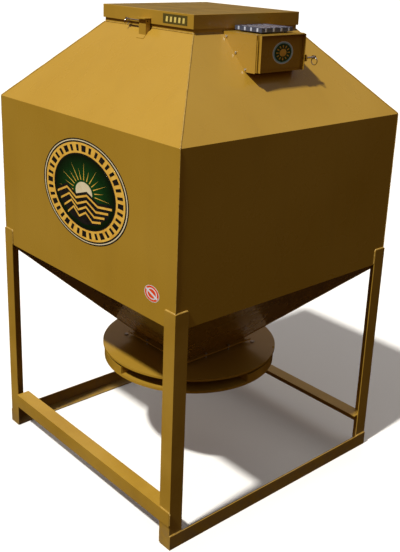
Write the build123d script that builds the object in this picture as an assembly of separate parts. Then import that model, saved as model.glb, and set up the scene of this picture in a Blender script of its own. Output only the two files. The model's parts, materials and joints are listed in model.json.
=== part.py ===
from build123d import *
import math
import os

os.makedirs("parts", exist_ok=True)

# A free-standing game feeder: a square sheet-steel hopper on four angle-iron legs, with a
# hinged lid, a solar control box on one roof slope, and a round feeding pan under the funnel
# whose rim shutter turns to open and close two feeding windows.
# Axes: front is -Y, the control box is on the +X side, Z is up, and the floor is z = 0.
# The hopper's axis is the model's axis until export, which centres the footprint.

INCH = 25.4

# --- hopper ---
body_side = 48 * INCH          # outside width of the square body
body_bottom_z = 947.0
shoulder_z = 64 * INCH         # where the walls meet the roof
neck_z = 1961.5                # where the roof meets the filling neck
neck_side = 567.2              # outside width of the filling neck
sheet_t = 2.0
neck_t = 3.0
neck_top_gap = 0.3             # neck's upper edge, below the lid's plate
outlet_side = 360.0            # outside width of the funnel's lower end
outlet_z = 527.0

# --- angle-iron stand ---
angle_leg = 2.5 * INCH
angle_t = 4.8
angle_toe_r = 1.5
leg_top_z = 40 * INCH
front_rail_top_z = 171.5
rear_rail_top_z = 165.0
rear_rail_inset = 12.0         # rear rail's end, short of the legs' side flanges
root_r = 4.0                   # inside corner of the cross rails

# --- lid ---
lid_gap = 4.4                  # between the lid's skirt and the neck
lid_rise = 16.8                # skirt's lower edge, above the roof
lid_top_z = 80 * INCH
lid_t = 2.0
lid_bend_r = 1.6

# --- lid hinges (two, on the rear edge) ---
hinge_x = 180.0
hinge_axis_out = 8.5           # barrel axis behind the lid's rear face
hinge_axis_drop = 4.3          # barrel axis below the lid's lower edge
hinge_w = 70.0
hinge_barrel_r = 5.0
hinge_pin_r = 2.5
hinge_leaf_t = 3.0
hinge_leaf_h = 30.0
hinge_mid_w = 23.0             # the lid leaf's middle knuckle
hinge_gap = 0.5
pin_clearance = 0.05           # radial clearance of every running fit

# --- lid latch (front edge) ---
latch_x = 8.0
tongue_w = 56.0
tongue_reach = 34.0
tongue_t = 4.0
tongue_z = 1995.0              # underside
hook_t = 4.0
hook_x = 10.0                  # hooks' middles, each side of the latch's middle
hook_drop = 17.0               # hooks' lower ends, below the tongue
hook_back_wall = 3.0
hook_slot_gap = 0.3
keeper_w = 45.0
keeper_t = 3.0
keeper_top_gap = 3.0           # keeper's top, below the tongue
keeper_lid_gap = 1.5           # keeper's ears, in front of the lid
keeper_pin_gap = 2.5           # front plate, in front of the pin
keeper_flange = 12.0
latch_pin_r = 3.5
latch_pin_len = 84.0
latch_pin_out = 14.0           # pin axis in front of the lid
latch_pin_drop = 9.0           # pin axis below the tongue
latch_ring_r = 11.0

# --- lock pins (lid latch and control-box door) ---
head_r = 8.0
head_t = 4.0
eye_size = (13.0, 5.0, 13.0)   # flat eye behind the head
ring_wire_r = 1.8
ring_hole_gap = 0.6
pin_tip_gap = 0.5              # how far a drawn-back pin's tip stops short of what it locks

# --- control box (right roof slope) ---
box_w = 266.0
box_top_z = 1968.0
box_bottom_z = 1826.0
box_floor_depth = 72.3         # from the roof to the box's front, at the shelf's top
box_t = 2.0
box_lip = 9.0                  # frame around the door opening
box_sill = 15.0
box_back_gap = 1.4             # top plate, short of the filling neck

door_gap = 1.0
door_t = 2.0
door_flange = 17.0
door_bottom_z = 1829.0
door_panel_bottom_z = 1838.0
door_hinge_r = 3.0
door_hinge_pin_r = 1.4
door_knuckle = 24.0
door_leaf_t = 1.0
door_ear_t = 4.0
door_ear_h = 26.0
door_ear_reach = 19.0
door_pin_r = 4.0
door_pin_len = 46.0
door_pin_z = 1872.0
door_pin_out = 10.0            # pin axis in front of the box's face
door_slot_gap = 0.6            # door flange's square slot, round the pin
door_ring_r = 15.0

screw_r = 4.5
screw_h = 3.0
screw_inset = 12.0             # screw centres, in from the roof along the side panel
screw_places = (0.08, 0.5, 0.92)   # along the side panel's joint with the roof

# --- inside the control box ---
shelf_z = 1844.0
shelf_t = 2.0
battery_size = (62.0, 151.0, 94.0)
battery_y = -46.0
battery_front_gap = 2.0
battery_corner_r = 3.0
terminal_r = 4.0
terminal_h = 8.0
terminal_inset = 18.1          # terminal centres, in from the battery's ends
timer_size = (42.0, 70.0, 88.0)
timer_y = 84.0
timer_front_gap = 14.0
timer_corner_r = 4.0
knob_r = 14.0
knob_h = 9.0
knob_gap = 0.5                 # between the timer's face and the knob
knob_edge_r = 2.0
knob_mark_w = 2.0              # pointer groove across the knob's face
knob_mark_depth = 1.5
knob_post_r = 3.0
knob_post_h = 6.0
knob_z = 1905.0

# --- solar panel (on the control box) ---
solar_size = (147.0, 174.0, 16.0)
solar_back_gap = 15.0
solar_lift = 6.0
solar_rim = 7.0
solar_pocket = 2.5
solar_glass_t = 2.0
solar_foot_r = 6.0
solar_foot_inset = 20.6        # foot centres, in from the frame's edges
solar_corner_r = 3.0

# --- funnel outlet ---
flange_w = 32.0
flange_t = 6.0
flange_in = 6.0                # flange's inner edge, inside the funnel's outer face
flange_bolt_pitch = 140.0
flange_bolt_edge = 8.5         # bolt centres, in from the flange's outer edge
bolt_r = 4.0
bolt_head_r = 7.5
bolt_head_h = 5.0
bolt_clearance = 0.3           # radial

# --- feeding pan ---
cover_r = 16 * INCH
cover_z = 20 * INCH            # top of the pan's cover
cover_t = 3.0
cover_lip = 9.0
pan_floor_inset = 10.4         # floor's edge, in from the cover's edge
pan_floor_z = 450.0            # top of the pan's floor
pan_floor_t = 3.0
pan_wall_t = 3.0
pan_wall_h = 34.0
hanger_t = 5.0
hanger_len = 96.0
pan_bolt_r = 5.0
pan_nut_h = 4.5
cone_base_r = 130.0
cone_top_r = 26.0
cone_h = 130.0
cone_t = 2.0

# --- rim shutter and its drive ---
shutter_gap = 1.0              # from the floor's edge and fixed walls to the shutter
shutter_t = 3.0
shutter_bottom_z = 438.0
shutter_low_z = 450.0          # rim height across an open window
shutter_high_z = 484.0
spider_t = 3.5
spider_arm_w = 44.0
spider_hub_r = 46.0
shaft_r = 8.0
shaft_in_motor = 24.0
motor_r = 36.0
motor_h = 84.0
motor_edge_r = 4.0
conduit_r = 10.7
conduit_bore_r = 7.9
conduit_roof_x = 350.0         # where the conduit meets the roof

# --- values worked out from the sizes above ---
body_half = body_side / 2
neck_half = neck_side / 2
lid_half = neck_half + lid_gap + lid_t
lid_bottom_z = neck_z + lid_rise
pan_floor_r = cover_r - pan_floor_inset
pan_bolt_circle_r = pan_floor_r - hanger_len
outlet_half = outlet_side / 2
leg_out = body_half + angle_t              # outer faces of the legs
side_out = leg_out + angle_t               # outer faces of the ground rails
front_out = leg_out + angle_t              # outer face of the front rail, lapped over the leg
leg_edge = leg_out - angle_leg             # inner edges of the legs' flanges
footprint_shift = (front_out - leg_out) / 2
roof_run = body_half - neck_half
roof_rise = neck_z - shoulder_z
roof_angle = math.atan2(roof_rise, roof_run)
shelf_top = shelf_z + shelf_t


def roof_x(z):
    """Outer face of a roof slope: its distance from the axis at height z."""
    return neck_half + (neck_z - z) * roof_run / roof_rise


def roof_height(x):
    """Outer face of a roof slope: its height at distance x from the axis."""
    return neck_z - (x - neck_half) * roof_rise / roof_run


def save(node, solid):
    """Centre the footprint and write one node."""
    export_step(Pos(0, footprint_shift, 0) * solid, f"parts/{node}.step")


def block(x0, x1, y0, y1, z0, z1):
    """A box between two corners."""
    centre = Pos((x0 + x1) / 2, (y0 + y1) / 2, (z0 + z1) / 2)
    return centre * Box(x1 - x0, y1 - y0, z1 - z0)


def rod(radius, start, end):
    """A round bar from one point to another."""
    axis = Vector(*end) - Vector(*start)
    plane = Plane(origin=start, z_dir=axis)
    return extrude(plane * Circle(radius), axis.length)


def hexagon(radius, z0, z1, x, y):
    """An upright hexagonal head or nut."""
    return Pos(x, y, z0) * extrude(RegularPolygon(radius, 6), z1 - z0)


def prism_xz(points, y0, y1):
    """A solid with a straight-sided outline in X and Z, between two values of Y."""
    face = Plane.XZ * Polygon(*points, align=None)
    return Pos(0, y1, 0) * extrude(face, y1 - y0)


def frustum(half_low, z_low, half_high, z_high):
    """A square block that tapers evenly between two heights."""
    low = Plane.XY.offset(z_low) * Rectangle(2 * half_low, 2 * half_low)
    high = Plane.XY.offset(z_high) * Rectangle(2 * half_high, 2 * half_high)
    return loft([low, high])


def quarter_panel(half_low, z_low, half_high, z_high, thickness):
    """The +X side of a square sheet-metal shell, mitred at its corners."""
    rise = z_high - z_low
    slant = math.hypot(rise, half_high - half_low)
    across = thickness * slant / rise
    outer = frustum(half_low, z_low, half_high, z_high)
    inner = frustum(half_low - across, z_low, half_high - across, z_high)
    reach = 2 * max(half_low, half_high)
    wedge = Polygon((0, 0), (reach, -reach), (reach, reach), align=None)
    return (outer - inner) & (Pos(0, 0, z_low) * extrude(wedge, rise))


def four_sides(prefix, panel):
    """Write one panel as the right, rear, left and front side of a square shell."""
    for turn, side in enumerate(("right", "rear", "left", "front")):
        save(f"{prefix}_{side}", Rot(0, 0, 90 * turn) * panel)


def angle_bar(length, inside_r):
    """Angle iron along +Z, its outside corner on the axis and its legs along +X and +Y."""
    a, t = angle_leg, angle_t
    profile = Polygon((0, 0), (a, 0), (a, t), (t, t), (t, a), (0, a), align=None)
    toes = [v for v in profile.vertices() if max(v.X, v.Y) > a - 0.1 and min(v.X, v.Y) > 0.1]
    profile = fillet(toes, angle_toe_r)
    if inside_r > 0:
        inner = profile.vertices().sort_by_distance((t, t))[0]
        profile = fillet(inner, inside_r)
    return extrude(profile, length)


def ring_sector(r_in, r_out, z0, z1, start, end):
    """Part of an upright ring, from one angle to another in degrees."""
    sweep = (end - start) % 360 or 360
    ring = extrude(Circle(r_out) - Circle(r_in), z1 - z0)
    if sweep < 360:
        reach = 2 * r_out
        steps = [start + sweep * k / 4 for k in range(5)]
        rim = [(reach * math.cos(math.radians(s)), reach * math.sin(math.radians(s))) for s in steps]
        ring = ring & extrude(Polygon((0, 0), *rim, align=None), z1 - z0)
    return Pos(0, 0, z0) * ring


# ---------------------------------------------------------------- hopper panels
four_sides("wall", quarter_panel(body_half, body_bottom_z, body_half, shoulder_z, sheet_t))
four_sides("roof", quarter_panel(body_half, shoulder_z, neck_half, neck_z, sheet_t))
four_sides("funnel", quarter_panel(outlet_half, outlet_z, body_half, body_bottom_z, sheet_t))

# Upright collar that the lid closes over.
neck_top_z = lid_top_z - lid_t - neck_top_gap
neck_inner = neck_half - neck_t
neck_collar = block(-neck_half, neck_half, -neck_half, neck_half, neck_z, neck_top_z)
neck_collar -= block(-neck_inner, neck_inner, -neck_inner, neck_inner, neck_z, neck_top_z)
save("neck_collar", neck_collar)

# ---------------------------------------------------------------- angle-iron stand
# The legs wrap the outside of the body's corners and stand on the ground rails' flanges.
leg = Pos(-leg_out, -leg_out, angle_t) * angle_bar(leg_top_z - angle_t, 0)
for turn, corner in enumerate(("front_left", "front_right", "rear_right", "rear_left")):
    save(f"leg_{corner}", Rot(0, 0, 90 * turn) * leg)

# Ground rails: upright flange outside the legs, lower flange turned in.
ground_plane = Plane(origin=(side_out, leg_out, 0), x_dir=(0, 0, 1), z_dir=(0, -1, 0))
ground_rail = ground_plane * angle_bar(2 * leg_out, 0)
save("ground_rail_right", ground_rail)
save("ground_rail_left", Rot(0, 0, 180) * ground_rail)

# Front rail: butts the left leg, and its upright flange laps over the right leg's face.
front_plane = Plane(origin=(leg_out, -front_out, front_rail_top_z), x_dir=(0, 1, 0), z_dir=(-1, 0, 0))
front_rail = front_plane * angle_bar(leg_out + leg_edge, root_r)
cope = block(leg_edge, leg_out, -leg_out, 0, 0, front_rail_top_z)
save("rail_front", front_rail - cope)

# Rear rail: nested inside the rear legs.
rear_end = body_half - rear_rail_inset
rear_plane = Plane(origin=(-rear_end, body_half, rear_rail_top_z), x_dir=(0, -1, 0), z_dir=(1, 0, 0))
save("rail_rear", rear_plane * angle_bar(2 * rear_end, root_r))

# ---------------------------------------------------------------- lid
lid = block(-lid_half, lid_half, -lid_half, lid_half, lid_bottom_z, lid_top_z)
lid = fillet(lid.edges().group_by(Axis.Z)[-1], lid_bend_r)
lid_inner = lid_half - lid_t
lid -= block(-lid_inner, lid_inner, -lid_inner, lid_inner, lid_bottom_z, lid_top_z - lid_t)
save("lid", lid)

# Two hinges along the rear edge: outer knuckles and pin on the neck, middle knuckle on the lid.
hinge_y = lid_half + hinge_axis_out
hinge_z = lid_bottom_z - hinge_axis_drop
half_w = hinge_w / 2
half_mid = hinge_mid_w / 2
half_web = hinge_leaf_t / 2

hinge_base = block(-half_w, half_w, neck_half, neck_half + hinge_leaf_t, neck_z, hinge_z + half_web)
for side in (-1, 1):
    inner_x = side * (half_mid + hinge_gap)
    outer_x = side * half_w
    x0, x1 = min(inner_x, outer_x), max(inner_x, outer_x)
    hinge_base += block(x0, x1, neck_half, hinge_y, hinge_z - half_web, hinge_z + half_web)
    hinge_base += rod(hinge_barrel_r, (x0, hinge_y, hinge_z), (x1, hinge_y, hinge_z))
hinge_base += rod(hinge_pin_r, (-half_w, hinge_y, hinge_z), (half_w, hinge_y, hinge_z))

leaf_low = lid_bottom_z + 1
hinge_leaf = block(-half_w, half_w, lid_half, lid_half + hinge_leaf_t, leaf_low, leaf_low + hinge_leaf_h)
hinge_leaf += block(-half_mid, half_mid, lid_half, hinge_y, leaf_low, leaf_low + hinge_leaf_t)
hinge_leaf += block(-half_mid, half_mid, hinge_y - hinge_leaf_t, hinge_y, hinge_z, leaf_low + hinge_leaf_t)
hinge_leaf += rod(hinge_barrel_r, (-half_mid, hinge_y, hinge_z), (half_mid, hinge_y, hinge_z))
hinge_leaf -= rod(hinge_pin_r + pin_clearance, (-half_w, hinge_y, hinge_z), (half_w, hinge_y, hinge_z))
for side, x in (("left", -hinge_x), ("right", hinge_x)):
    save(f"lid_hinge_{side}_base", Pos(x, 0, 0) * hinge_base)
    save(f"lid_hinge_{side}_leaf", Pos(x, 0, 0) * hinge_leaf)

# ---------------------------------------------------------------- lid latch
# Two hooks under the lid's tongue drop between the keeper's ears. A pin through both ears
# then runs over the hooks' lips and locks the lid.
latch_pin_y = -lid_half - latch_pin_out
latch_pin_z = tongue_z - latch_pin_drop
tongue_half = tongue_w / 2
tongue_front = -lid_half - tongue_reach
tongue = block(-tongue_half, tongue_half, tongue_front, -lid_half, tongue_z, tongue_z + tongue_t)
front_corners = tongue.edges().filter_by(Axis.Z).group_by(Axis.Y)[0]
tongue = fillet(front_corners, tongue_t)
hook_front = latch_pin_y - latch_pin_r - keeper_pin_gap / 2
slot_half = latch_pin_r + hook_slot_gap
slot_back = latch_pin_y + latch_pin_r + hook_back_wall / 2
for side in (-1, 1):
    x0 = side * hook_x - hook_t / 2
    x1 = x0 + hook_t
    tongue += block(x0, x1, hook_front, -lid_half, tongue_z - hook_drop, tongue_z)
    tongue -= block(x0, x1, hook_front, slot_back, latch_pin_z - slot_half, latch_pin_z + slot_half)
save("latch_tongue", Pos(latch_x, 0, 0) * tongue)

keeper_out = keeper_w / 2
keeper_in = keeper_out - keeper_t
keeper_front = latch_pin_y - latch_pin_r - keeper_pin_gap - keeper_t
keeper_back = -lid_half - keeper_lid_gap
keeper_top = tongue_z - keeper_top_gap


def keeper_outline(back_y):
    """Side view of a keeper wall, its foot on the front roof slope."""
    points = [
        (keeper_front, roof_height(-keeper_front)),
        (back_y, roof_height(-back_y)),
        (back_y, keeper_top),
        (keeper_front, keeper_top),
    ]
    return Plane.YZ * Polygon(*points, align=None)


ear = extrude(keeper_outline(keeper_back), keeper_t)
keeper = Pos(keeper_in, 0, 0) * ear + Pos(-keeper_out, 0, 0) * ear
keeper += Pos(-keeper_in, 0, 0) * extrude(keeper_outline(keeper_front + keeper_t), 2 * keeper_in)
flange_front = keeper_front - keeper_flange
foot_points = [
    (flange_front, roof_height(-flange_front)),
    (keeper_front, roof_height(-keeper_front)),
    (keeper_front, roof_height(-keeper_front) + keeper_t),
    (flange_front, roof_height(-flange_front) + keeper_t),
]
foot = extrude(Plane.YZ * Polygon(*foot_points, align=None), 2 * keeper_out)
keeper += Pos(-keeper_out, 0, 0) * foot
keeper -= rod(
    latch_pin_r + pin_clearance,
    (-2 * keeper_out, latch_pin_y, latch_pin_z),
    (2 * keeper_out, latch_pin_y, latch_pin_z),
)
save("latch_keeper", Pos(latch_x, 0, 0) * keeper)


def lock_pin(radius, length):
    """A pin along +X from its tip at the origin, with a head and a flat eye for a ring."""
    pin = rod(radius, (-length, 0, 0), (0, 0, 0))
    tip = pin.edges().filter_by(GeomType.CIRCLE).sort_by(Axis.X)[-1]
    pin = chamfer(tip, radius / 3)
    pin += rod(head_r, (-length - head_t, 0, 0), (-length, 0, 0))
    ex, ey, ez = eye_size
    x = -length - head_t - ex / 2
    eye = Pos(x, 0, 0) * Box(ex, ey, ez)
    eye = fillet(eye.edges().filter_by(Axis.Y).group_by(Axis.X)[0], ez / 3)
    return pin + eye - rod(ring_wire_r + ring_hole_gap, (x, -ey, 0), (x, ey, 0))


def pull_ring(length, radius):
    """The ring that hangs in a lock pin's head."""
    x = -length - head_t - eye_size[0] / 2
    return Pos(x, 0, -radius) * (Rot(0, 90, 0) * Torus(radius, ring_wire_r))


# The pins are stored drawn back, each still held by its near ear.
latch_place = Pos(latch_x - keeper_in - pin_tip_gap, latch_pin_y, latch_pin_z)
save("latch_pin", latch_place * lock_pin(latch_pin_r, latch_pin_len))
save("latch_pin_ring", latch_place * pull_ring(latch_pin_len, latch_ring_r))

# ---------------------------------------------------------------- control box
box_half = box_w / 2
box_in = box_half - box_t
box_back_x = neck_half + box_back_gap
box_front_x = roof_x(shelf_top) + box_floor_depth
side_points = [
    (box_back_x, roof_height(box_back_x)),
    (roof_x(box_bottom_z), box_bottom_z),
    (box_front_x, box_bottom_z),
    (box_front_x, box_top_z),
    (box_back_x, box_top_z),
]
inner_points = [
    (box_back_x, roof_height(box_back_x)),
    (roof_x(box_bottom_z + box_t), box_bottom_z + box_t),
    (box_front_x - box_t, box_bottom_z + box_t),
    (box_front_x - box_t, box_top_z - box_t),
    (box_back_x, box_top_z - box_t),
]
opening_half = box_half - box_lip
opening_low = box_bottom_z + box_sill
opening_high = box_top_z - box_t
shell = prism_xz(side_points, -box_half, box_half)
shell -= prism_xz(inner_points, -box_in, box_in)
shell -= block(
    box_front_x - 2 * box_t, box_front_x + box_t,
    -opening_half, opening_half,
    opening_low, opening_high,
)
save("control_box_shell", shell)

shelf_x0 = roof_x(shelf_z)
shelf_x1 = box_front_x - box_t
shelf_points = [
    (shelf_x0, shelf_z),
    (shelf_x1, shelf_z),
    (shelf_x1, shelf_top),
    (roof_x(shelf_top), shelf_top),
]
save("battery_shelf", prism_xz(shelf_points, -box_in, box_in))

bx, by, bz = battery_size
battery_x1 = shelf_x1 - battery_front_gap
battery_top = shelf_top + bz
battery = block(battery_x1 - bx, battery_x1, battery_y - by / 2, battery_y + by / 2, shelf_top, battery_top)
battery = fillet(battery.edges().filter_by(Axis.Z), battery_corner_r)
for side in (-1, 1):
    post_x = battery_x1 - bx / 4
    post_y = battery_y + side * (by / 2 - terminal_inset)
    battery += rod(terminal_r, (post_x, post_y, battery_top), (post_x, post_y, battery_top + terminal_h))
save("battery", battery)

tx, ty, tz = timer_size
timer_x1 = shelf_x1 - timer_front_gap
timer = block(timer_x1 - tx, timer_x1, timer_y - ty / 2, timer_y + ty / 2, shelf_top, shelf_top + tz)
timer = fillet(timer.edges().filter_by(Axis.X), timer_corner_r)
timer += rod(knob_post_r, (timer_x1, timer_y, knob_z), (timer_x1 + knob_post_h, timer_y, knob_z))
save("timer_unit", timer)

knob_x0 = timer_x1 + knob_gap
knob_x1 = knob_x0 + knob_h
mark_x0 = knob_x1 - knob_mark_depth
half_mark = knob_mark_w / 2
knob = rod(knob_r, (knob_x0, timer_y, knob_z), (knob_x1, timer_y, knob_z))
knob = fillet(knob.edges().filter_by(GeomType.CIRCLE).sort_by(Axis.X)[-1], knob_edge_r)
knob -= block(mark_x0, knob_x1, timer_y - half_mark, timer_y + half_mark, knob_z, knob_z + knob_r)
knob -= rod(knob_post_r + pin_clearance, (knob_x0, timer_y, knob_z), (knob_x0 + knob_post_h, timer_y, knob_z))
save("timer_knob", knob)

# Screws along both side panels, just in from the roof.
screws = None
for fraction in screw_places:
    along_z = neck_z + fraction * (box_bottom_z - neck_z)
    screw_x = roof_x(along_z) + screw_inset
    for side in (-1, 1):
        near_y, far_y = side * box_half, side * (box_half + screw_h)
        head = rod(screw_r, (screw_x, near_y, along_z), (screw_x, far_y, along_z))
        screws = head if screws is None else screws + head
save("box_screws", screws)

# ---------------------------------------------------------------- control-box door
# A tray with its flanges turned out, hung on a long hinge at its left edge.
door_half = opening_half - door_gap
door_x0 = box_front_x + door_gap
door_x1 = door_x0 + door_flange
door_top_z = box_top_z - door_gap
door = block(door_x0, door_x0 + door_t, -door_half, door_half, door_panel_bottom_z, door_top_z)
door += block(door_x0, door_x1, -door_half, -door_half + door_t, door_bottom_z, door_top_z)
door += block(door_x0, door_x1, door_half - door_t, door_half, door_bottom_z, door_top_z)
door += block(door_x0, door_x1, -door_half, door_half, door_top_z - door_t, door_top_z)
pin_x = box_front_x + door_pin_out
door_slot = door_pin_r + door_slot_gap
door -= block(
    pin_x - door_slot, pin_x + door_slot,
    door_half - 2 * door_t, box_half,
    door_pin_z - door_slot, door_pin_z + door_slot,
)
save("control_door", door)

door_axis_x = box_front_x + door_hinge_r + hinge_gap
door_axis_y = -(door_half + box_half) / 2
knuckle_total = door_top_z - door_bottom_z
knuckle_count = int(knuckle_total // door_knuckle)
half_leaf = door_leaf_t / 2
fixed_side = block(box_front_x, box_front_x + door_leaf_t, -box_half, door_axis_y, door_bottom_z, door_top_z)
leaf_x0, leaf_x1 = door_axis_x - half_leaf, door_axis_x + half_leaf
door_side = block(leaf_x0, leaf_x1, door_axis_y, -door_half, door_bottom_z, door_top_z)
for k in range(knuckle_count):
    z0 = door_bottom_z + k * door_knuckle + hinge_gap
    z1 = door_bottom_z + (k + 1) * door_knuckle - hinge_gap
    knuckle = rod(door_hinge_r, (door_axis_x, door_axis_y, z0), (door_axis_x, door_axis_y, z1))
    low_end = (door_axis_x, door_axis_y, z0 - 2 * hinge_gap)
    high_end = (door_axis_x, door_axis_y, z1 + 2 * hinge_gap)
    clear = rod(door_hinge_r + hinge_gap, low_end, high_end)
    if k % 2 == 0:
        fixed_side += knuckle
        door_side -= clear
    else:
        door_side += knuckle
        fixed_side -= clear
pin_ends = ((door_axis_x, door_axis_y, door_bottom_z), (door_axis_x, door_axis_y, door_top_z))
fixed_side += rod(door_hinge_pin_r, *pin_ends)
door_side -= rod(door_hinge_pin_r + pin_clearance, *pin_ends)
save("door_hinge_fixed", fixed_side)
save("door_hinge_leaf", door_side)

# Ear on the box's right side that carries the door's lock pin.
ear_x1 = box_front_x + door_ear_reach
door_ear = block(
    box_front_x - door_ear_reach, ear_x1,
    box_half, box_half + door_ear_t,
    door_pin_z - door_ear_h / 2, door_pin_z + door_ear_h / 2,
)
ear_corners = door_ear.edges().filter_by(Axis.Y).group_by(Axis.X)[-1]
door_ear = fillet(ear_corners, door_ear_h / 4)
hole_end = box_half + 2 * door_ear_t
door_ear -= rod(door_pin_r + pin_clearance, (pin_x, box_half, door_pin_z), (pin_x, hole_end, door_pin_z))
save("door_pin_ear", door_ear)

door_place = Pos(pin_x, box_half + pin_tip_gap, door_pin_z) * Rot(0, 0, -90)
save("door_pin", door_place * lock_pin(door_pin_r, door_pin_len))
save("door_pin_ring", door_place * pull_ring(door_pin_len, door_ring_r))

# ---------------------------------------------------------------- solar panel
sx, sy, sz = solar_size
solar_x = box_back_x + solar_back_gap + sx / 2
solar_z0 = box_top_z + solar_lift
solar_z1 = solar_z0 + sz
frame_panel = block(solar_x - sx / 2, solar_x + sx / 2, -sy / 2, sy / 2, solar_z0, solar_z1)
frame_panel = fillet(frame_panel.edges().filter_by(Axis.Z), solar_corner_r)
px, py = sx / 2 - solar_rim, sy / 2 - solar_rim
frame_panel -= block(solar_x - px, solar_x + px, -py, py, solar_z1 - solar_pocket, solar_z1)
save("solar_frame", frame_panel)
glass_z0 = solar_z1 - solar_pocket
save("solar_glass", block(solar_x - px, solar_x + px, -py, py, glass_z0, glass_z0 + solar_glass_t))

feet = None
for fx in (-1, 1):
    for fy in (-1, 1):
        foot_x = solar_x + fx * (sx / 2 - solar_foot_inset)
        foot_y = fy * (sy / 2 - solar_foot_inset)
        foot_post = rod(solar_foot_r, (foot_x, foot_y, box_top_z), (foot_x, foot_y, solar_z0))
        feet = foot_post if feet is None else feet + foot_post
save("solar_feet", feet)

# ---------------------------------------------------------------- funnel outlet
flange_inner = outlet_half - flange_in
flange_outer = flange_inner + flange_w
flange_z0 = outlet_z - flange_t
flange = block(-flange_outer, flange_outer, -flange_outer, flange_outer, flange_z0, outlet_z)
flange -= block(-flange_inner, flange_inner, -flange_inner, flange_inner, flange_z0, outlet_z)
outlet_neck = block(-outlet_half, outlet_half, -outlet_half, outlet_half, cover_z, flange_z0)
neck_hole = outlet_half - pan_wall_t
outlet_neck -= block(-neck_hole, neck_hole, -neck_hole, neck_hole, cover_z, flange_z0)
save("outlet_neck", outlet_neck)

bolt_line = flange_outer - flange_bolt_edge
bolt_places = []
for turn in range(4):
    for along in (-flange_bolt_pitch / 2, flange_bolt_pitch / 2):
        bolt_places.append(Vector(bolt_line, along, 0).rotate(Axis.Z, 90 * turn))

cover = Pos(0, 0, cover_z - cover_t / 2) * Cylinder(cover_r, cover_t)
cover += ring_sector(cover_r - cover_t, cover_r, cover_z - cover_lip, cover_z - cover_t, 0, 360)
cover -= block(-neck_hole, neck_hole, -neck_hole, neck_hole, cover_z - cover_t, cover_z)

bolts = None
for place in bolt_places:
    flange -= rod(bolt_r + bolt_clearance, (place.X, place.Y, flange_z0), (place.X, place.Y, outlet_z))
    cover -= rod(bolt_r + bolt_clearance, (place.X, place.Y, cover_z - cover_t), (place.X, place.Y, cover_z))
    bolt = hexagon(bolt_head_r, outlet_z, outlet_z + bolt_head_h, place.X, place.Y)
    bolt += rod(bolt_r, (place.X, place.Y, cover_z - cover_t), (place.X, place.Y, outlet_z))
    bolt += hexagon(bolt_head_r, cover_z - cover_t - bolt_head_h, cover_z - cover_t, place.X, place.Y)
    bolts = bolt if bolts is None else bolts + bolt
save("outlet_flange", flange)
save("outlet_bolts", bolts)

# ---------------------------------------------------------------- feeding pan
floor_low = pan_floor_z - pan_floor_t
cover_under = cover_z - cover_t
floor = Pos(0, 0, floor_low + pan_floor_t / 2) * Cylinder(pan_floor_r, pan_floor_t)
floor -= rod(shaft_r + pin_clearance, (0, 0, floor_low - 1), (0, 0, pan_floor_z + 1))

pan_bolts = None
for turn in range(4):
    place = Vector(pan_bolt_circle_r, 0, 0).rotate(Axis.Z, 45 + 90 * turn)
    spot = (place.X, place.Y)
    cover -= rod(pan_bolt_r + bolt_clearance, (*spot, cover_under), (*spot, cover_z))
    floor -= rod(pan_bolt_r + bolt_clearance, (*spot, floor_low), (*spot, pan_floor_z))
    bolt = hexagon(2 * pan_bolt_r, cover_z, cover_z + bolt_head_h, *spot)
    bolt += rod(pan_bolt_r, (*spot, floor_low), (*spot, cover_z))
    bolt += hexagon(2 * pan_bolt_r, floor_low - pan_nut_h, floor_low, *spot)
    pan_bolts = bolt if pan_bolts is None else pan_bolts + bolt
save("pan_cover", cover)
save("pan_floor", floor)
save("pan_bolts", pan_bolts)

# Radial plates at the four quarter points hold the floor under the cover.
hanger = block(pan_floor_r - hanger_len, pan_floor_r, -hanger_t / 2, hanger_t / 2, pan_floor_z, cover_under)
hanger &= Pos(0, 0, (pan_floor_z + cover_under) / 2) * Cylinder(pan_floor_r, cover_under - pan_floor_z)
hangers = hanger
for turn in (1, 2, 3):
    hangers += Rot(0, 0, 90 * turn) * hanger
save("pan_hangers", hangers)

# Fixed inner walls close two opposite quarters of the pan, between the hangers.
fixed_wall = ring_sector(pan_floor_r - pan_wall_t, pan_floor_r, pan_floor_z, pan_floor_z + pan_wall_h, 0, 90)
fixed_wall -= block(0, 2 * pan_floor_r, -hanger_t, hanger_t / 2, 0, neck_z)
fixed_wall -= block(-hanger_t, hanger_t / 2, 0, 2 * pan_floor_r, 0, neck_z)
save("pan_wall_rear_right", fixed_wall)
save("pan_wall_front_left", Rot(0, 0, 180) * fixed_wall)

# Cone that spreads the feed and covers the shutter's gearmotor.
cone_mid_z = pan_floor_z + cone_h / 2
feed_cone = Pos(0, 0, cone_mid_z) * Cone(cone_base_r, cone_top_r, cone_h)
cone_across = 1.4 * cone_t
cone_hollow = Cone(cone_base_r - cone_across, cone_top_r - cone_across, cone_h)
feed_cone -= Pos(0, 0, cone_mid_z - cone_t) * cone_hollow
save("feed_cone", feed_cone)

motor = Pos(0, 0, pan_floor_z + motor_h / 2) * Cylinder(motor_r, motor_h)
motor = fillet(motor.edges().filter_by(GeomType.CIRCLE).sort_by(Axis.Z)[-1], motor_edge_r)
motor -= rod(shaft_r + pin_clearance, (0, 0, pan_floor_z), (0, 0, pan_floor_z + shaft_in_motor + 1))
save("shutter_motor", motor)

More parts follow.
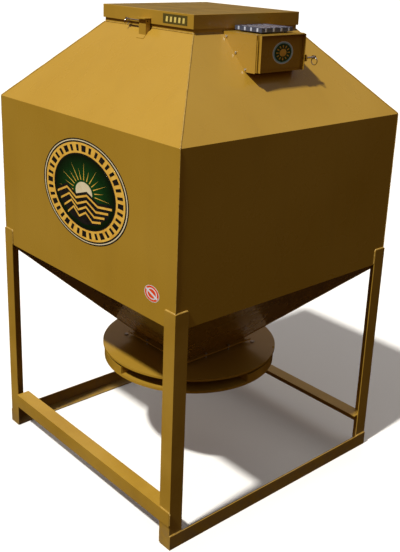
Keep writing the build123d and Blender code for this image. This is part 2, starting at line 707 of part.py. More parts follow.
# Straight wiring conduit from the cone to the roof under the control box.
cone_top_z = pan_floor_z + cone_h
roof_point = Vector(conduit_roof_x, 0, roof_height(conduit_roof_x))
conduit_foot = Vector(0, 0, cone_top_z)
slope = (roof_point - conduit_foot).normalized()
spare = slope * 6 * conduit_r              # cut off by the roof and by the cone's top
far_point = roof_point + spare
near_point = conduit_foot - spare
conduit = rod(conduit_r, tuple(near_point), tuple(far_point))
conduit -= rod(conduit_bore_r, tuple(near_point), tuple(far_point))
inside_across = sheet_t / math.sin(roof_angle)
room_points = [
    (-body_half / 2, cone_top_z),
    (body_half - inside_across, cone_top_z),
    (body_half - inside_across, shoulder_z),
    (neck_half - inside_across, neck_z),
    (-body_half / 2, neck_z),
]
save("wire_conduit", conduit & prism_xz(room_points, -2 * conduit_r, 2 * conduit_r))

# ---------------------------------------------------------------- rim shutter
shutter_in = pan_floor_r + shutter_gap
shutter_out = shutter_in + shutter_t
shutter = ring_sector(shutter_in, shutter_out, shutter_bottom_z, shutter_low_z, 0, 360)
for start in (0, 180):
    shutter += ring_sector(shutter_in, shutter_out, shutter_low_z, shutter_high_z, start, start + 90)
save("rim_shutter", shutter)

spider_place = Pos(0, 0, shutter_bottom_z + spider_t / 2)
spider = spider_place * Cylinder(spider_hub_r, spider_t)
for turn in range(2):
    spider += spider_place * Rot(0, 0, 45 + 90 * turn) * Box(2 * shutter_in, spider_arm_w, spider_t)
spider &= spider_place * Cylinder(shutter_in, spider_t)
spider += rod(shaft_r, (0, 0, shutter_bottom_z), (0, 0, pan_floor_z + shaft_in_motor))
save("shutter_spider", spider)
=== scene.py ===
import json
import math
import random

import bmesh
import bpy
from mathutils import Matrix, Vector


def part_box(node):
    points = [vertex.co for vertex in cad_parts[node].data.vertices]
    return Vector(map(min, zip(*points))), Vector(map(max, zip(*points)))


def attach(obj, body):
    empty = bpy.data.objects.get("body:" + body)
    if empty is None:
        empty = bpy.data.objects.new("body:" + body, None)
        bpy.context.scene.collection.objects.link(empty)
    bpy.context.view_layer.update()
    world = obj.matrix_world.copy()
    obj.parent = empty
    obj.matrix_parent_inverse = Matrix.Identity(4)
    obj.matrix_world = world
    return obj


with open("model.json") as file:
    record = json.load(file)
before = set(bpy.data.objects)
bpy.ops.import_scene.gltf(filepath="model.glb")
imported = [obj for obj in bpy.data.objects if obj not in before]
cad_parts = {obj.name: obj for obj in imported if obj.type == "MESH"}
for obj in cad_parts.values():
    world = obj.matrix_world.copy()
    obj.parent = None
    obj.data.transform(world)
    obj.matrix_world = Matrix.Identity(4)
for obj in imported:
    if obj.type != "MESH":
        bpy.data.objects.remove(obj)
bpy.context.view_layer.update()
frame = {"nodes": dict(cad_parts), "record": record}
nodes = frame["nodes"]
rng = random.Random(7)

# ------------------------------------------------------------------ measures, in metres
wall_low, wall_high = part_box("wall_front")
collar_low, collar_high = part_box("neck_collar")
leg_low, leg_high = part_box("leg_front_right")
solar_low, solar_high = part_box("solar_glass")
solar_frame_low, solar_frame_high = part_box("solar_frame")

BODY_HALF = wall_high.x
MIDDLE_Y = (wall_low.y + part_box("wall_rear")[1].y) / 2
SHOULDER_Z = wall_high.z
BODY_BOTTOM_Z = wall_low.z
NECK_HALF = collar_high.x
NECK_Z = collar_low.z
OUTLET_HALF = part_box("outlet_neck")[1].x
OUTLET_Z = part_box("funnel_front")[0].z
LEG_TOP_Z = leg_high.z
LEG_OUT = leg_high.x
LEG_EDGE = leg_low.x
RAIL_TOP_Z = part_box("ground_rail_right")[1].z
FRONT_FACE_Y = wall_low.y
LID_FACE_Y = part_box("lid")[0].y
DOOR_BACK_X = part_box("control_door")[0].x
CORNERS = ((1, -1), (1, 1), (-1, 1), (-1, -1))


# ------------------------------------------------------------------ node helpers
class Shader:
    """A material with one principled shader, and short calls for the nodes that feed it."""

    def __init__(self, name, **values):
        self.material = bpy.data.materials.new(name)
        self.material.use_nodes = True
        self.tree = self.material.node_tree
        self.bsdf = self.tree.nodes["Principled BSDF"]
        self.coords = self.add("ShaderNodeTexCoord")
        self.place = self.coords.outputs["Object"]
        for socket, value in values.items():
            self.bsdf.inputs[socket.replace("_", " ")].default_value = value

    def add(self, kind, **settings):
        node = self.tree.nodes.new(kind)
        for key, value in settings.items():
            setattr(node, key, value)
        return node

    def link(self, source, target):
        self.tree.links.new(source, target)

    def mapped(self, scale):
        node = self.add("ShaderNodeMapping")
        node.inputs["Scale"].default_value = scale
        self.link(self.place, node.inputs["Vector"])
        return node.outputs["Vector"]

    def noise(self, scale, detail=3.0, roughness=0.5, stretch=None):
        node = self.add("ShaderNodeTexNoise")
        node.inputs["Scale"].default_value = scale
        node.inputs["Detail"].default_value = detail
        node.inputs["Roughness"].default_value = roughness
        source = self.mapped(stretch) if stretch else self.place
        self.link(source, node.inputs["Vector"])
        return node.outputs["Fac"]

    def ramp(self, source, low, high, from_value=0.0, to_value=1.0):
        node = self.add("ShaderNodeMapRange")
        node.inputs["From Min"].default_value = low
        node.inputs["From Max"].default_value = high
        node.inputs["To Min"].default_value = from_value
        node.inputs["To Max"].default_value = to_value
        self.link(source, node.inputs["Value"])
        return node.outputs["Result"]

    def math(self, operation, first, second):
        node = self.add("ShaderNodeMath", operation=operation)
        for socket, value in zip(node.inputs, (first, second)):
            if isinstance(value, (int, float)):
                socket.default_value = value
            else:
                self.link(value, socket)
        return node.outputs["Value"]

    def mix(self, factor, first, second):
        node = self.add("ShaderNodeMix", data_type="RGBA")
        self.link(factor, node.inputs["Factor"])
        for socket, value in ((node.inputs[6], first), (node.inputs[7], second)):
            if isinstance(value, tuple):
                socket.default_value = (*value, 1)
            else:
                self.link(value, socket)
        return node.outputs[2]

    def colour(self, source):
        self.link(source, self.bsdf.inputs["Base Color"])

    def rough(self, source):
        self.link(source, self.bsdf.inputs["Roughness"])

    def bump(self, layers):
        """Stack height fields, each with its strength and depth in metres."""
        normal = None
        for height, strength, depth in layers:
            node = self.add("ShaderNodeBump")
            node.inputs["Strength"].default_value = strength
            node.inputs["Distance"].default_value = depth
            self.link(height, node.inputs["Height"])
            if normal:
                self.link(normal, node.inputs["Normal"])
            normal = node.outputs["Normal"]
        self.link(normal, self.bsdf.inputs["Normal"])


# ------------------------------------------------------------------ materials
def tan_paint(name, top_grime_and_shade):
    """Glossy tan enamel on sheet steel: faint orange peel, rain streaks, and up-facing faces darkened, partly
    by grime and partly by painted shade.
    """
    s = Shader(name, IOR=1.5, Coat_Weight=0.35, Coat_Roughness=0.08)
    broad = s.ramp(s.noise(1.7, 4.0), 0.35, 0.65)
    base = s.mix(broad, (0.385, 0.222, 0.022), (0.415, 0.246, 0.030))
    streaks = s.ramp(s.noise(1.0, 3.0, 0.5, (16.0, 16.0, 1.1)), 0.52, 0.80, 0.0, 0.14)
    streaked = s.mix(streaks, base, (0.290, 0.170, 0.026))
    facing = s.add("ShaderNodeSeparateXYZ")
    s.link(s.coords.outputs["Normal"], facing.inputs["Vector"])
    # Up-facing faces are mixed towards dark brown. This is part grime and part painted shade that tones down
    # the tops' brightness.
    level = s.ramp(facing.outputs["Z"], 0.75, 1.0, 0.0, top_grime_and_shade)
    patches = s.ramp(s.noise(1.0, 6.0, 0.65, (5.0, 14.0, 5.0)), 0.30, 0.72, 0.55, 1.0)
    grime_and_shade = s.math("MULTIPLY", level, patches)
    s.colour(s.mix(grime_and_shade, streaked, (0.115, 0.080, 0.020)))
    s.rough(s.math("ADD", s.ramp(s.noise(5.0, 5.0), 0.3, 0.7, 0.22, 0.34), s.math("MULTIPLY", grime_and_shade, 0.30)))
    s.bump(((s.noise(2.0, 1.0), 0.20, 0.003), (s.noise(420.0, 2.0), 0.12, 0.0003)))
    return s.material


def frame_paint():
    """The same enamel on rolled angle iron: mill-scale pitting, scuffs and soil near the ground."""
    s = Shader("frame_paint", IOR=1.5, Coat_Weight=0.2, Coat_Roughness=0.15)
    broad = s.ramp(s.noise(6.0, 5.0), 0.35, 0.65)
    base = s.mix(broad, (0.350, 0.200, 0.022), (0.405, 0.240, 0.032))
    scuffs = s.ramp(s.noise(1.0, 6.0, 0.75, (60.0, 60.0, 18.0)), 0.66, 0.72, 0.0, 0.6)
    scuffed = s.mix(scuffs, base, (0.16, 0.095, 0.035))
    height = s.add("ShaderNodeSeparateXYZ")
    s.link(s.place, height.inputs["Vector"])
    low = s.ramp(height.outputs["Z"], 0.0, 0.16, 0.75, 0.0)
    soil = s.math("MULTIPLY", low, s.ramp(s.noise(22.0, 6.0, 0.7), 0.35, 0.7))
    s.colour(s.mix(soil, scuffed, (0.20, 0.145, 0.085)))
    s.rough(s.math("ADD", s.ramp(s.noise(30.0, 5.0), 0.3, 0.7, 0.28, 0.44), s.math("MULTIPLY", soil, 0.35)))
    s.bump(((s.noise(70.0, 4.0), 0.25, 0.0008), (s.noise(500.0, 2.0), 0.2, 0.0004)))
    return s.material


def weld_paint():
    """Enamel over weld metal, a little thinner and duller than on the sheet."""
    s = Shader("weld_paint", IOR=1.5, Coat_Weight=0.25, Coat_Roughness=0.12)
    s.colour(s.mix(s.ramp(s.noise(80.0, 4.0), 0.35, 0.65), (0.330, 0.195, 0.032), (0.430, 0.275, 0.060)))
    s.rough(s.ramp(s.noise(120.0, 3.0), 0.3, 0.7, 0.25, 0.42))
    s.bump(((s.noise(300.0, 3.0), 0.3, 0.0005),))
    return s.material


def plated_steel(name, light, dark, smooth, dull):
    """Zinc or bright plating with crystalline mottling and fine scratches."""
    s = Shader(name, Metallic=1.0)
    mottle = s.ramp(s.noise(160.0, 4.0), 0.35, 0.65)
    s.colour(s.mix(mottle, light, dark))
    s.rough(s.ramp(s.noise(260.0, 5.0, 0.6), 0.3, 0.7, smooth, dull))
    s.bump(((s.noise(1.0, 3.0, 0.5, (900.0, 900.0, 90.0)), 0.2, 0.0002),))
    return s.material


def anodised_frame():
    """Brushed, blue-grey anodised aluminium."""
    s = Shader("solar_frame_metal", Metallic=0.6)
    brush = s.noise(1.0, 3.0, 0.5, (90.0, 90.0, 2600.0))
    s.colour(s.mix(s.ramp(brush, 0.3, 0.7), (0.120, 0.145, 0.240), (0.170, 0.205, 0.320)))
    s.rough(s.ramp(brush, 0.3, 0.7, 0.24, 0.34))
    s.bump(((brush, 0.08, 0.0001),))
    return s.material


def solar_cells():
    """Dark blue silicon under a clear coat, with crystal grain and fine collector fingers."""
    s = Shader("solar_cells", IOR=1.5, Coat_Weight=1.0, Coat_Roughness=0.03)
    cells = s.add("ShaderNodeTexVoronoi", feature="F1")
    cells.inputs["Scale"].default_value = 120.0
    s.link(s.place, cells.inputs["Vector"])
    grain = s.add("ShaderNodeSeparateXYZ")
    s.link(cells.outputs["Color"], grain.inputs["Vector"])
    silicon = s.mix(grain.outputs["X"], (0.010, 0.018, 0.080), (0.022, 0.042, 0.160))
    wave = s.add("ShaderNodeTexWave", wave_type="BANDS", bands_direction="Y")
    wave.inputs["Scale"].default_value = 95.0
    s.link(s.place, wave.inputs["Vector"])
    s.colour(s.mix(s.ramp(wave.outputs["Fac"], 0.93, 0.99), silicon, (0.45, 0.48, 0.52)))
    s.rough(s.ramp(s.noise(40.0, 4.0), 0.3, 0.7, 0.10, 0.22))
    s.bump(((s.noise(30.0, 3.0), 0.05, 0.0003),))
    return s.material


def moulded_plastic(name, light, dark, grain):
    """Moulded plastic with a fine leather-like grain and a little dust."""
    s = Shader(name, IOR=1.46)
    s.colour(s.mix(s.ramp(s.noise(18.0, 5.0), 0.35, 0.7), light, dark))
    s.rough(s.ramp(s.noise(60.0, 4.0), 0.3, 0.7, 0.45, 0.62))
    s.bump(((s.noise(grain, 2.0), 0.25, 0.0003),))
    return s.material


def motor_enamel():
    """Dark enamel over a cast gearbox."""
    s = Shader("motor_metal", Metallic=0.3, IOR=1.5)
    s.colour(s.mix(s.ramp(s.noise(40.0, 5.0), 0.35, 0.65), (0.045, 0.048, 0.052), (0.085, 0.085, 0.085)))
    s.rough(s.ramp(s.noise(90.0, 4.0), 0.3, 0.7, 0.38, 0.55))
    s.bump(((s.noise(180.0, 4.0), 0.4, 0.0006),))
    return s.material


def print_ink(name, light, dark):
    """Printed vinyl: even ink with slight mottling under a thin laminate."""
    s = Shader(name, IOR=1.48, Coat_Weight=0.4, Coat_Roughness=0.1)
    s.colour(s.mix(s.ramp(s.noise(28.0, 4.0), 0.3, 0.7), light, dark))
    s.rough(s.ramp(s.noise(70.0, 3.0), 0.3, 0.7, 0.24, 0.38))
    s.bump(((s.noise(160.0, 2.0), 0.12, 0.0002),))
    return s.material


def glowing_field():
    """Dark oval field, green in its middle and nearly black at its rim."""
    s = Shader("field_ink", IOR=1.48, Coat_Weight=0.4, Coat_Roughness=0.1)
    ball = s.add("ShaderNodeTexGradient", gradient_type="SPHERICAL")
    s.link(s.mapped((4.6, 6.4, 1.0)), ball.inputs["Vector"])
    centre = s.ramp(ball.outputs["Fac"], 0.02, 0.75)
    green = s.mix(centre, (0.002, 0.004, 0.002), (0.008, 0.070, 0.012))
    s.colour(s.mix(s.ramp(s.noise(20.0, 5.0), 0.35, 0.7, 0.0, 0.35), green, (0.001, 0.010, 0.002)))
    s.rough(s.ramp(s.noise(70.0, 3.0), 0.3, 0.7, 0.24, 0.36))
    s.bump(((s.noise(160.0, 2.0), 0.12, 0.0002),))
    return s.material


PAINT = tan_paint("tan_paint", 0.25)
# The lid's top is darkened more strongly, by grime and by painted shade.
LID_PAINT = tan_paint("lid_paint", 0.85)
FRAME_PAINT = frame_paint()
WELD_PAINT = weld_paint()
INK_BLACK = print_ink("ink_black", (0.006, 0.006, 0.006), (0.016, 0.014, 0.012))
INK_GOLD = print_ink("ink_gold", (0.88, 0.56, 0.10), (0.72, 0.38, 0.045))
INK_CREAM = print_ink("ink_cream", (0.80, 0.72, 0.50), (0.70, 0.60, 0.38))
INK_WHITE = print_ink("ink_white", (0.80, 0.84, 0.86), (0.62, 0.72, 0.78))
INK_SKY = print_ink("ink_sky", (0.16, 0.46, 0.62), (0.42, 0.66, 0.76))
INK_GREEN = print_ink("ink_green", (0.006, 0.045, 0.012), (0.012, 0.080, 0.022))
INK_ORANGE = print_ink("ink_orange", (0.72, 0.055, 0.010), (0.80, 0.09, 0.018))
INK_OLIVE = print_ink("ink_olive", (0.075, 0.058, 0.012), (0.105, 0.080, 0.018))
INK_YELLOW = print_ink("ink_yellow", (0.80, 0.66, 0.20), (0.70, 0.55, 0.14))
FIELD_INK = glowing_field()
ZINC = plated_steel("zinc_steel", (0.62, 0.62, 0.60), (0.40, 0.40, 0.39), 0.26, 0.44)
BRIGHT = plated_steel("bright_steel", (0.86, 0.86, 0.86), (0.66, 0.66, 0.67), 0.10, 0.24)
RIBBON = print_ink("ribbon_silver", (0.58, 0.65, 0.80), (0.40, 0.46, 0.62))

SLOT_MATERIALS = {
    "tan_paint": PAINT,
    "zinc_steel": ZINC,
    "bright_steel": BRIGHT,
    "solar_frame_metal": anodised_frame(),
    "solar_cells": solar_cells(),
    "battery_case": moulded_plastic("battery_case", (0.020, 0.020, 0.022), (0.042, 0.041, 0.040), 240.0),
    "timer_case": moulded_plastic("timer_case", (0.085, 0.095, 0.105), (0.130, 0.140, 0.150), 320.0),
    "knob_plastic": moulded_plastic("knob_plastic", (0.014, 0.014, 0.014), (0.030, 0.030, 0.030), 400.0),
    "motor_metal": motor_enamel(),
    "conduit_zinc": plated_steel("conduit_zinc", (0.50, 0.52, 0.52), (0.34, 0.36, 0.36), 0.35, 0.55),
}
for part in frame["record"]["subparts"]:
    name = part["node"]
    chosen = SLOT_MATERIALS[part["material_slot"]]
    if name.startswith(("leg_", "ground_rail", "rail_")):
        chosen = FRAME_PAINT
    if name == "lid":
        chosen = LID_PAINT
    nodes[name].data.materials.clear()
    nodes[name].data.materials.append(chosen)


# ------------------------------------------------------------------ mesh helpers
def add_piece(name, bm, materials, body, matrix=None, smooth=False):
    """Turn a mesh into a new piece, put it in place and let it ride on its body."""
    mesh = bpy.data.meshes.new(name)
    bmesh.ops.recalc_face_normals(bm, faces=bm.faces)
    bm.to_mesh(mesh)
    bm.free()
    for material in materials:
        mesh.materials.append(material)
    for face in mesh.polygons:
        face.use_smooth = smooth
    piece = bpy.data.objects.new(name, mesh)
    bpy.context.scene.collection.objects.link(piece)
    if matrix:
        piece.matrix_world = matrix
    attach(piece, body)
    return piece


# ------------------------------------------------------------------ weld beads
RIPPLE = 0.006                 # spacing of a bead's ripples
RINGS_PER_RIPPLE = 3
BEAD_SIDES = 8
SEAM_R = 0.0016                # upright corners, ground nearly flush
HIP_R = 0.0026
NECK_R = 0.0030
RAIL_R = 0.0036
LEG_R = 0.0042


def bead(bm, start, end, radius):
    """A rippled weld bead along a straight joint, rounded off at both ends."""
    run = end - start
    length = run.length
    along = run.normalized()
    side = along.orthogonal().normalized()
    up = along.cross(side)
    count = max(6, int(length / (RIPPLE / RINGS_PER_RIPPLE)))
    rings = []
    wander = rng.uniform(0, 6)
    for k in range(count + 1):
        travelled = length * k / count
        ripple = 1 + 0.12 * math.cos(2 * math.pi * travelled / RIPPLE)
        ripple += 0.07 * math.sin(37 * travelled + wander)
        ends = min(1.0, 0.25 + min(travelled, length - travelled) / radius)
        size = radius * ripple * ends
        middle = start + along * travelled + side * (0.10 * radius * math.sin(55 * travelled + wander))
        ring = []
        for n in range(BEAD_SIDES):
            angle = 2 * math.pi * n / BEAD_SIDES
            spoke = side * (size * math.cos(angle)) + up * (size * math.sin(angle))
            ring.append(bm.verts.new(middle + spoke))
        rings.append(ring)
    for first, second in zip(rings, rings[1:]):
        for n in range(BEAD_SIDES):
            m = (n + 1) % BEAD_SIDES
            bm.faces.new((first[n], first[m], second[m], second[n]))
    bm.faces.new(rings[0])
    bm.faces.new(rings[-1])


def at_corner(corner, half, z):
    """A point over one corner of a centred square, from half the square's side and a height."""
    return Vector((corner[0] * half, MIDDLE_Y + corner[1] * half, z))


def weld_group(name, joints, radius):
    """One piece with a bead along each of the joints."""
    bm = bmesh.new()
    for start, end in joints:
        bead(bm, start, end, radius)
    add_piece(name, bm, [WELD_PAINT], "frame", smooth=True)


def hopper_seams():
    """Seams between the hopper's panels: upright corners, roof hips and funnel hips."""
    uprights = []
    hips = []
    for corner in CORNERS:
        uprights.append((at_corner(corner, BODY_HALF, LEG_TOP_Z), at_corner(corner, BODY_HALF, SHOULDER_Z)))
        hips.append((at_corner(corner, BODY_HALF, SHOULDER_Z), at_corner(corner, NECK_HALF, NECK_Z)))
        hips.append((at_corner(corner, BODY_HALF, BODY_BOTTOM_Z), at_corner(corner, OUTLET_HALF, OUTLET_Z)))
    weld_group("seam_upright_corners", uprights, SEAM_R)
    weld_group("seam_hips", hips, HIP_R)


def collar_seam():
    """Bead between the roof and the filling neck."""
    joints = []
    for first, second in zip(CORNERS, CORNERS[1:] + CORNERS[:1]):
        joints.append((at_corner(first, NECK_HALF, NECK_Z), at_corner(second, NECK_HALF, NECK_Z)))
    weld_group("seam_filling_neck", joints, NECK_R)


def leg_welds():
    """Beads over each leg's top and down both of its flange edges, where it meets the body."""
    joints = []
    for cx, cy in CORNERS:
        face_x = cx * BODY_HALF
        face_y = MIDDLE_Y + cy * BODY_HALF
        edge_x = cx * LEG_EDGE
        edge_y = MIDDLE_Y + cy * LEG_EDGE
        top = LEG_TOP_Z
        joints.append((Vector((face_x, face_y, top)), Vector((edge_x, face_y, top))))
        joints.append((Vector((face_x, face_y, top)), Vector((face_x, edge_y, top))))
        joints.append((Vector((edge_x, face_y, top)), Vector((edge_x, face_y, BODY_BOTTOM_Z))))
        joints.append((Vector((face_x, edge_y, top)), Vector((face_x, edge_y, BODY_BOTTOM_Z))))
    weld_group("weld_leg_tops", joints, LEG_R)


def rail_welds():
    """Beads where the ground rails and cross rails meet the legs."""
    joints = []
    for cx, cy in CORNERS:
        near_y = MIDDLE_Y + cy * LEG_OUT
        far_y = MIDDLE_Y + cy * LEG_EDGE
        joints.append((Vector((cx * LEG_OUT, near_y, RAIL_TOP_Z)), Vector((cx * LEG_OUT, far_y, RAIL_TOP_Z))))
    low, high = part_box("rail_front")
    face_y = MIDDLE_Y - LEG_OUT
    lap_low, lap_high = low.z + 0.004, high.z - 0.002
    butt_low, butt_high = low.z + 0.006, high.z - 0.004
    joints.append((Vector((LEG_OUT, face_y, lap_low)), Vector((LEG_OUT, face_y, lap_high))))
    joints.append((Vector((LEG_EDGE, face_y, high.z)), Vector((LEG_OUT, face_y, high.z))))
    joints.append((Vector((low.x, face_y, butt_low)), Vector((low.x, face_y, butt_high))))
    weld_group("weld_rails", joints, RAIL_R)


hopper_seams()
collar_seam()
leg_welds()
rail_welds()


# ------------------------------------------------------------------ printed labels
LAYER = 0.00012                # thickness of one layer of print
EMBLEM_PLACE = (0.030, 1.337)  # middles of the marks on front faces, in X and Z
STICKER_PLACE = (0.470, 1.052)
PLACARD_PLACE = (0.181, 2.0055)
DOOR_MARK_PLACE = (0.0144, 1.898)   # on the door, in Y and Z
DOOR_SHEET = 0.002             # door panel's thickness


def plate(bm, outline, level, index):
    """One flat layer of print: an outline in the label's plane, raised to its level."""
    floor = level * LAYER
    lower = [bm.verts.new((x, y, floor)) for x, y in outline]
    upper = [bm.verts.new((x, y, floor + LAYER)) for x, y in outline]
    faces = [bm.faces.new(lower), bm.faces.new(upper)]
    for k in range(len(outline)):
        m = (k + 1) % len(outline)
        faces.append(bm.faces.new((lower[k], lower[m], upper[m], upper[k])))
    for face in faces:
        face.material_index = index


def oval(wide, tall, share=1.0, count=96, centre=(0.0, 0.0)):
    """Outline of an oval, at a share of its full half-width and half-height."""
    points = []
    for k in range(count):
        angle = 2 * math.pi * k / count
        across, up = share * wide * math.cos(angle), share * tall * math.sin(angle)
        points.append((centre[0] + across, centre[1] + up))
    return points


def ray(wide, tall, angle, inner, outer, half_angle):
    """Outline of a bar that points away from the middle of an oval."""
    points = []
    for share, turn in ((inner, -half_angle), (outer, -half_angle), (outer, half_angle), (inner, half_angle)):
        points.append((share * wide * math.cos(angle + turn), share * tall * math.sin(angle + turn)))
    return points


def on_front(x, z, y):
    """Label plane on a front face: its first axis to the right, its normal to -Y."""
    return Matrix.Translation((x, y, z)) @ Matrix.Rotation(math.pi / 2, 4, "X")


def on_right(y, z, x):
    """Label plane on a face towards +X."""
    facing_right = Matrix.Rotation(math.pi / 2, 4, "Z") @ Matrix.Rotation(math.pi / 2, 4, "X")
    return Matrix.Translation((x, y, z)) @ facing_right


def body_emblem():
    """Oval emblem of the front wall: ringed border with even bars, and a sun over hills."""
    wide, tall = 0.297, 0.212
    bm = bmesh.new()
    black, gold, cream, field = range(4)
    plate(bm, oval(wide, tall), 0, black)
    plate(bm, oval(wide, tall, 0.975), 1, cream)
    plate(bm, oval(wide, tall, 0.955), 2, black)
    plate(bm, oval(wide, tall, 0.925), 3, gold)
    plate(bm, oval(wide, tall, 0.725), 4, black)
    plate(bm, oval(wide, tall, 0.700), 5, field)
    bars = 36
    for k in range(bars):
        half_bar = 0.035 if k % 3 else 0.060
        plate(bm, ray(wide, tall, 2 * math.pi * k / bars, 0.765, 0.885, half_bar), 4, black)
    gaps = 12
    horizon, across, up = -0.005, 1.3, 0.92
    for k in range(gaps + 1):
        angle = math.pi * k / gaps
        tip = 0.108 if k % 2 else 0.135
        spike = []
        for reach, turn in ((0.058, -0.035), (tip, 0.0), (0.058, 0.035)):
            x = across * reach * math.cos(angle + turn)
            y = horizon + up * reach * math.sin(angle + turn)
            spike.append((x, y))
        plate(bm, spike, 6, gold)
    plate(bm, oval(0.058, 0.042, 1.0, 48, (0.0, -0.002)), 7, cream)
    hills = [
        (-0.190, -0.020), (-0.120, 0.012), (-0.055, -0.018),
        (0.020, 0.006), (0.095, -0.022), (0.190, -0.010),
    ]
    basin = [(0.165, -0.070), (0.085, -0.118), (0.0, -0.134), (-0.085, -0.118), (-0.165, -0.070)]
    plate(bm, hills + basin, 8, black)
    for step in range(4):
        drop = 0.012 + 0.024 * step
        squeeze = 1.0 - 0.13 * step
        upper = [(x * squeeze, y - drop) for x, y in hills]
        lower = [(x * squeeze, y - drop - 0.009) for x, y in reversed(hills)]
        plate(bm, upper + lower, 9, gold)
    inks = [INK_BLACK, INK_GOLD, INK_CREAM, FIELD_INK]
    add_piece("emblem_body", bm, inks, "frame", on_front(*EMBLEM_PLACE, FRONT_FACE_Y))


def round_sticker():
    """Small orange-and-white sticker low on the front wall."""
    wide, tall = 0.044, 0.032
    bm = bmesh.new()
    plate(bm, oval(wide, tall), 0, 1)
    plate(bm, oval(wide, tall, 0.94), 1, 0)
    plate(bm, oval(wide, tall, 0.70), 2, 1)
    plate(bm, oval(wide, tall, 0.56), 3, 0)
    stripe = [(-0.036, 0.010), (-0.031, 0.017), (0.036, -0.010), (0.031, -0.017)]
    plate(bm, stripe, 4, 1)
    inks = [INK_ORANGE, INK_WHITE]
    add_piece("sticker_body", bm, inks, "frame", on_front(*STICKER_PLACE, FRONT_FACE_Y))


def lid_placard():
    """Dark placard on the lid's front skirt, with a row of plain bars."""
    half_w, half_h = 0.073, 0.0185
    bm = bmesh.new()
    plate(bm, [(-half_w, -half_h), (half_w, -half_h), (half_w, half_h), (-half_w, half_h)], 0, 0)
    for k in range(5):
        x = -0.050 + 0.025 * k
        bar = [(x - 0.006, -0.011), (x + 0.006, -0.011), (x + 0.008, 0.009), (x - 0.004, 0.009)]
        plate(bm, bar, 1, 1)
    inks = [INK_OLIVE, INK_YELLOW]
    add_piece("placard_lid", bm, inks, "lid", on_front(*PLACARD_PLACE, LID_FACE_Y))


def door_sticker():
    """Oval sticker on the control-box door: pale rim, dark field and a plain sun."""
    wide, tall = 0.057, 0.043
    bm = bmesh.new()
    white, sky, green, gold = range(4)
    plate(bm, oval(wide, tall), 0, white)
    plate(bm, oval(wide, tall, 0.93), 1, sky)
    plate(bm, oval(wide, tall, 0.82), 2, green)
    for k in range(12):
        plate(bm, ray(wide, tall, 2 * math.pi * k / 12, 0.44, 0.66, 0.09), 3, gold)
    plate(bm, oval(wide, tall, 0.34), 3, gold)
    inks = [INK_WHITE, INK_SKY, INK_GREEN, INK_GOLD]
    place = on_right(*DOOR_MARK_PLACE, DOOR_BACK_X + DOOR_SHEET)
    add_piece("sticker_door", bm, inks, "door", place)


body_emblem()
round_sticker()
lid_placard()
door_sticker()


# ------------------------------------------------------------------ solar panel details
RIBBON_COUNT = 5
RIBBON_PITCH = 0.030
RIBBON_W = 0.0035
RIBBON_T = 0.0004
RIBBON_MARGIN = 0.004          # ribbons' ends, in from the glass's edges
CLIP_W = 0.009
CLIP_T = 0.0012
CLIP_H = 0.013
CLIP_PITCH_X = 0.034           # along the front and rear edges
CLIP_PITCH_Y = 0.042           # along the left and right edges
RIBBON_ROUNDING = 0.0001
CLIP_ROUNDING = 0.0004


def rounded_bars(name, bars, rounding):
    """Small bright bars on the solar panel, each given by its middle and its size."""
    bm = bmesh.new()
    for middle, size in bars:
        cube = bmesh.ops.create_cube(bm, size=1.0)["verts"]
        bmesh.ops.scale(bm, vec=size, verts=cube)
        bmesh.ops.translate(bm, vec=middle, verts=cube)
    piece = add_piece(name, bm, [RIBBON], "frame")
    bevel = piece.modifiers.new("rounded", "BEVEL")
    bevel.width = rounding
    bevel.segments = 2


def solar_ribbons():
    """Bus ribbons that cross the cells."""
    length = solar_high.x - solar_low.x - 2 * RIBBON_MARGIN
    middle = (solar_low + solar_high) / 2
    bars = []
    for k in range(RIBBON_COUNT):
        y = middle.y + (k - (RIBBON_COUNT - 1) / 2) * RIBBON_PITCH
        bars.append((Vector((middle.x, y, solar_high.z)), (length, RIBBON_W, RIBBON_T)))
    rounded_bars("solar_ribbons", bars, RIBBON_ROUNDING)


def solar_clips():
    """Clips round the solar panel's edge, four to a side."""
    low, high = solar_frame_low, solar_frame_high
    middle = (low + high) / 2
    bars = []
    for k in (-1.5, -0.5, 0.5, 1.5):
        x = middle.x + k * CLIP_PITCH_X
        y = middle.y + k * CLIP_PITCH_Y
        for edge_y in (low.y, high.y):
            bars.append((Vector((x, edge_y, middle.z)), (CLIP_W, CLIP_T, CLIP_H)))
        for edge_x in (low.x, high.x):
            bars.append((Vector((edge_x, y, middle.z)), (CLIP_T, CLIP_W, CLIP_H)))
    rounded_bars("solar_clips", bars, CLIP_ROUNDING)


solar_ribbons()
solar_clips()


# ------------------------------------------------------------------ floor, light and camera
def studio_floor():
    """Wide pale floor that takes shadows but throws no light back."""
    bm = bmesh.new()
    bmesh.ops.create_grid(bm, x_segments=2, y_segments=2, size=90.0)
    s = Shader("floor_paper", IOR=1.4)
    s.colour(s.mix(s.ramp(s.noise(0.6, 3.0), 0.3, 0.7), (0.80, 0.80, 0.79), (0.84, 0.84, 0.83)))
    s.rough(s.ramp(s.noise(3.0, 2.0), 0.3, 0.7, 0.85, 0.95))
    mesh = bpy.data.meshes.new("studio_floor")
    bm.to_mesh(mesh)
    bm.free()
    mesh.materials.append(s.material)
    floor = bpy.data.objects.new("studio_floor", mesh)
    bpy.context.scene.collection.objects.link(floor)
    floor.visible_diffuse = False
    floor.visible_glossy = False


def sun(name, energy, spread, colour, travel, glare=True):
    """A studio light far away: its apparent width in degrees, and its direction of travel."""
    lamp = bpy.data.lights.new(name, "SUN")
    lamp.energy = energy
    lamp.angle = math.radians(spread)
    lamp.color = colour
    light = bpy.data.objects.new(name, lamp)
    light.rotation_mode = "QUATERNION"
    light.rotation_quaternion = Vector(travel).to_track_quat("-Z", "Y")
    light.visible_glossy = glare
    bpy.context.scene.collection.objects.link(light)


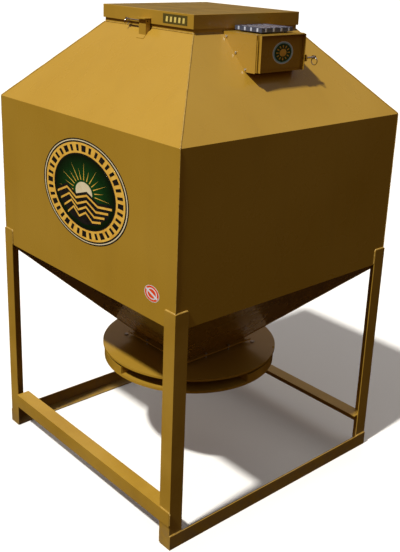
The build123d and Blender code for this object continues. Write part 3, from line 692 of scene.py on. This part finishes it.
def soft_surround():
    """Dim surround light, warm and low near the horizon and brighter overhead, on a pale backdrop."""
    world = bpy.data.worlds.new("surround")
    world.use_nodes = True
    tree = world.node_tree
    background = tree.nodes["Background"]
    coords = tree.nodes.new("ShaderNodeTexCoord")
    split = tree.nodes.new("ShaderNodeSeparateXYZ")
    tree.links.new(coords.outputs["Generated"], split.inputs["Vector"])
    tint = tree.nodes.new("ShaderNodeValToRGB")
    stops = tint.color_ramp.elements
    stops[0].position = 0.0
    stops[0].color = (1.0, 0.44, 0.16, 1)
    stops[1].position = 1.0
    stops[1].color = (0.80, 0.92, 1.0, 1)
    tree.links.new(split.outputs["Z"], tint.inputs["Fac"])
    tree.links.new(tint.outputs["Color"], background.inputs["Color"])
    shade = tree.nodes.new("ShaderNodeMapRange")
    shade.inputs["From Min"].default_value = -0.25
    shade.inputs["From Max"].default_value = 0.75
    shade.inputs["To Min"].default_value = 0.015
    shade.inputs["To Max"].default_value = 0.34
    tree.links.new(split.outputs["Z"], shade.inputs["Value"])
    tree.links.new(shade.outputs["Result"], background.inputs["Strength"])
    backdrop = tree.nodes.new("ShaderNodeBackground")
    backdrop.inputs["Color"].default_value = (0.90, 0.90, 0.89, 1)
    rays = tree.nodes.new("ShaderNodeLightPath")
    seen = tree.nodes.new("ShaderNodeMixShader")
    tree.links.new(rays.outputs["Is Camera Ray"], seen.inputs["Fac"])
    tree.links.new(background.outputs["Background"], seen.inputs[1])
    tree.links.new(backdrop.outputs["Background"], seen.inputs[2])
    tree.links.new(seen.outputs["Shader"], tree.nodes["World Output"].inputs["Surface"])
    bpy.context.scene.world = world


def camera():
    """The viewpoint: a person standing off the front-right corner."""
    eye = Vector((2.7014, -2.3950, 2.2677))
    target = Vector((0.0, 0.0451, 1.0487))
    roll = 0.0378
    data = bpy.data.cameras.new("camera")
    data.lens = 54.63
    data.sensor_width = 36.0
    data.shift_y = -0.0857
    data.clip_end = 300.0
    cam = bpy.data.objects.new("camera", data)
    aim = (target - eye).to_track_quat("-Z", "Y").to_matrix().to_4x4()
    cam.matrix_world = Matrix.Translation(eye) @ aim @ Matrix.Rotation(roll, 4, "Z")
    bpy.context.scene.collection.objects.link(cam)
    bpy.context.scene.camera = cam


bpy.context.scene.view_settings.view_transform = "Standard"
studio_floor()
sun("key", 4.4, 3, (1.0, 0.965, 0.90), (-0.03, 0.62, -1.0))
sun("fill", 1.1, 60, (1.0, 0.95, 0.88), (0.70, -0.62, -0.36), glare=False)
soft_surround()
camera()
